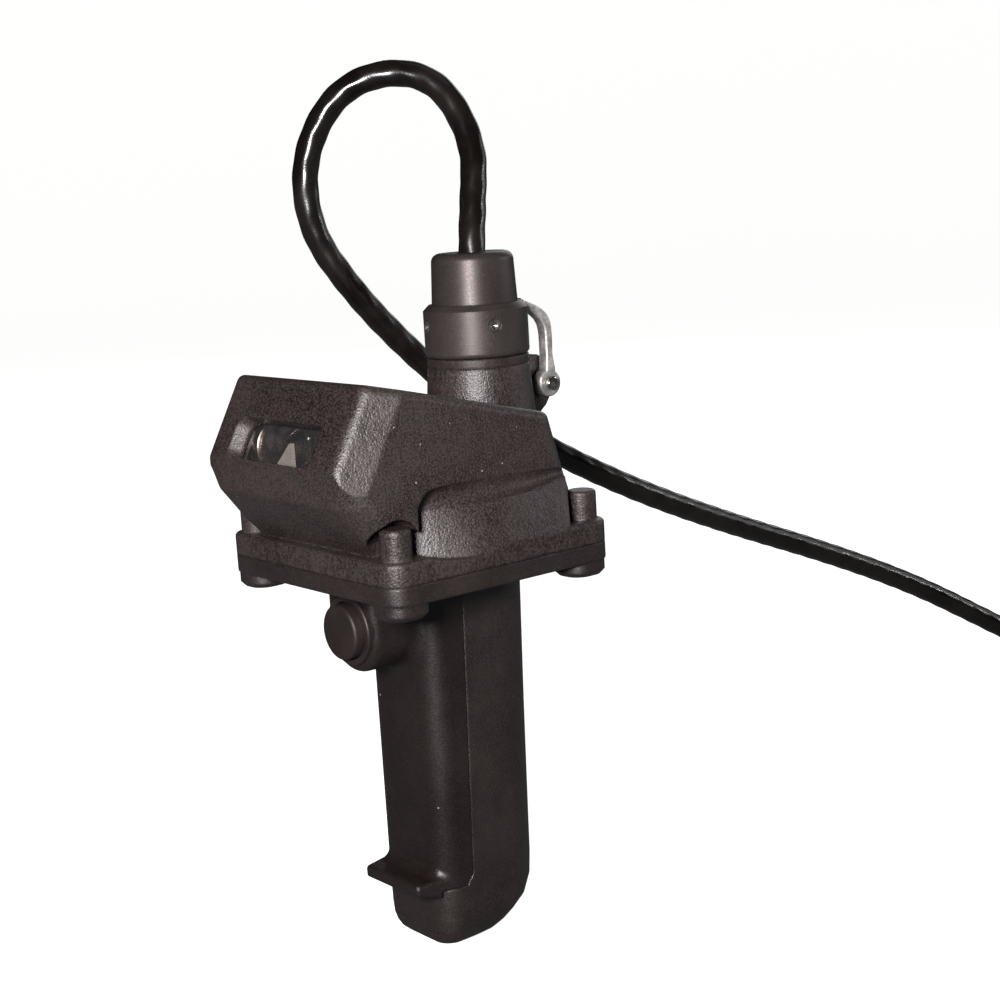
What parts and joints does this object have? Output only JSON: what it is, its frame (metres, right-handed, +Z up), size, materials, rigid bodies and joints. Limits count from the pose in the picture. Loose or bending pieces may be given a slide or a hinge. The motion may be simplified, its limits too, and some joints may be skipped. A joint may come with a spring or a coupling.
{
  "type": "pistol-grip hand unit with cable",
  "caption": "Pistol-grip handheld unit in a dark cast housing: sloping nose with a windowed slot, trigger button under a bolted flange, and a latched cable plug on top.",
  "frame": {"origin": "middle of the hand grip, on the plane of symmetry, 78 mm below the flange's parting plane", "axes": "+Z up along the grip towards the cable plug; -Y to the front, where the window, the trigger button and the finger ledge face; +X to the side that carries the latch lever"},
  "size_m": [0.1413, 0.557, 0.3034],
  "materials": {
    "casting": "satin",
    "casting_lower": "satin",
    "gasket": "matte",
    "fasteners": "satin",
    "grip_cover": "satin",
    "button": "matte",
    "button_bezel": "satin",
    "spring": "gloss",
    "switch_body": "matte",
    "switch_plunger": "gloss",
    "bracket": "satin",
    "window_glass": "gloss",
    "retainer": "satin",
    "barrel": "polished",
    "barrel_ring": "polished",
    "lens": "gloss",
    "mirror": "polished",
    "optics_bracket": "satin",
    "circuit_board": "satin",
    "sensor": "satin",
    "receptacle": "satin",
    "pins": "gloss",
    "insert": "matte",
    "collar": "satin",
    "set_screws": "gloss",
    "plug_cap": "satin",
    "gland": "matte",
    "latch": "satin",
    "loom": "satin",
    "cable": "gloss",
    "ties": "satin",
    "connector": "satin",
    "connector_ring": "satin",
    "connector_metal": "satin"
  },
  "bodies": {
    "housing": {"upper_housing": "casting", "lower_housing": "casting_lower", "housing_gasket": "gasket", "housing_bolts": "fasteners", "bolt_washers": "fasteners", "grip_front_cover": "grip_cover", "cover_screws": "fasteners", "button_bezel": "button_bezel", "button_seal": "gasket", "trigger_switch": "switch_body", "switch_bracket": "bracket", "switch_screws": "fasteners", "window_glass": "window_glass", "window_seal": "gasket", "window_retainer": "retainer", "lens_barrel": "barrel", "barrel_ring": "barrel_ring", "lens": "lens", "mirror_plate": "mirror", "optics_bracket": "optics_bracket", "optics_screws": "fasteners", "post_screw": "fasteners", "circuit_board": "circuit_board", "board_rails": "retainer", "board_screws": "fasteners", "light_sensor": "sensor", "receptacle": "receptacle", "receptacle_pins": "pins", "plug_insert": "insert", "coupling_collar": "collar", "collar_set_screws": "set_screws", "plug_body": "plug_cap", "plug_o_ring": "gasket", "cable_gland": "gland", "latch_pivot_bolt": "set_screws", "latch_washer": "fasteners", "wire_loom": "loom", "cable": "cable", "cable_coil": "cable", "coil_ties": "ties", "cable_tail": "cable", "connector_shell": "connector", "connector_ring": "connector_ring", "connector_nose": "connector_metal"},
    "trigger": {"trigger_button": "button", "button_spring": "spring"},
    "plunger": {"switch_plunger": "switch_plunger"},
    "latch": {"latch_lever": "latch"}
  },
  "joints": [
    {"name": "trigger_slide", "type": "slide", "parent": "housing", "child": "trigger", "axis": [0, 1, 0], "range_m": [0, 0.003], "stiffness_N_per_m": 900, "springref_m": -0.003},
    {"name": "plunger_slide", "type": "slide", "parent": "housing", "child": "plunger", "axis": [0, 1, 0], "range_m": [0, 0.003]},
    {"name": "latch_pivot", "type": "hinge", "parent": "housing", "child": "latch", "pos_m": [0, 0.0451, 0.1272], "axis": [-1, 0, 0], "range_deg": [0, 75]}
  ],
  "couplings": [
    {"joint": "plunger_slide", "follows": "trigger_slide", "ratio": 1}
  ]
}
